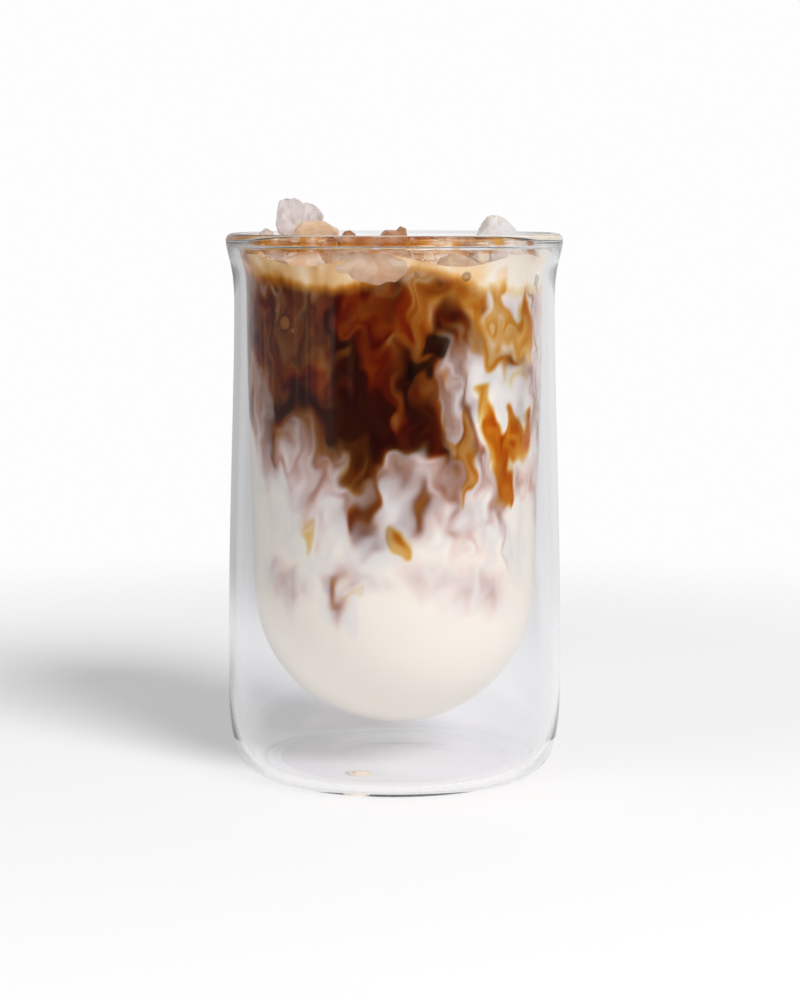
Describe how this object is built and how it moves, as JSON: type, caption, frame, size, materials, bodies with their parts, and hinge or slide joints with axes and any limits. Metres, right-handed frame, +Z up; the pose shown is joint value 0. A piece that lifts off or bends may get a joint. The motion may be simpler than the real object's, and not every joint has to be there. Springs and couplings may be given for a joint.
{
  "type": "iced latte",
  "caption": "Iced latte in a clear double-walled glass: white milk, marbled coffee and pale foam in layers, with broken ice standing out of the top.",
  "frame": {"origin": "middle of the standing ring, on the table", "axes": "+Z up along the glass's axis; the pictured front faces -Y, with +X to the right"},
  "size_m": [0.0842, 0.0842, 0.1442],
  "materials": {
    "glass": "gloss",
    "plug": "matte",
    "milk": "satin",
    "coffee": "satin",
    "foam": "matte",
    "ice": "gloss"
  },
  "bodies": {
    "root": {"glass": "glass", "vent_plug": "plug", "milk": "milk", "coffee": "coffee", "foam": "foam", "ice_tall": "ice", "ice_nub": "ice", "ice_amber": "ice", "ice_small": "ice", "ice_front": "ice", "ice_left": "ice", "ice_right": "ice", "ice_right_front": "ice", "ice_right_low": "ice", "ice_middle": "ice", "ice_back_left": "ice", "ice_back_right": "ice"}
  },
  "joints": []
}
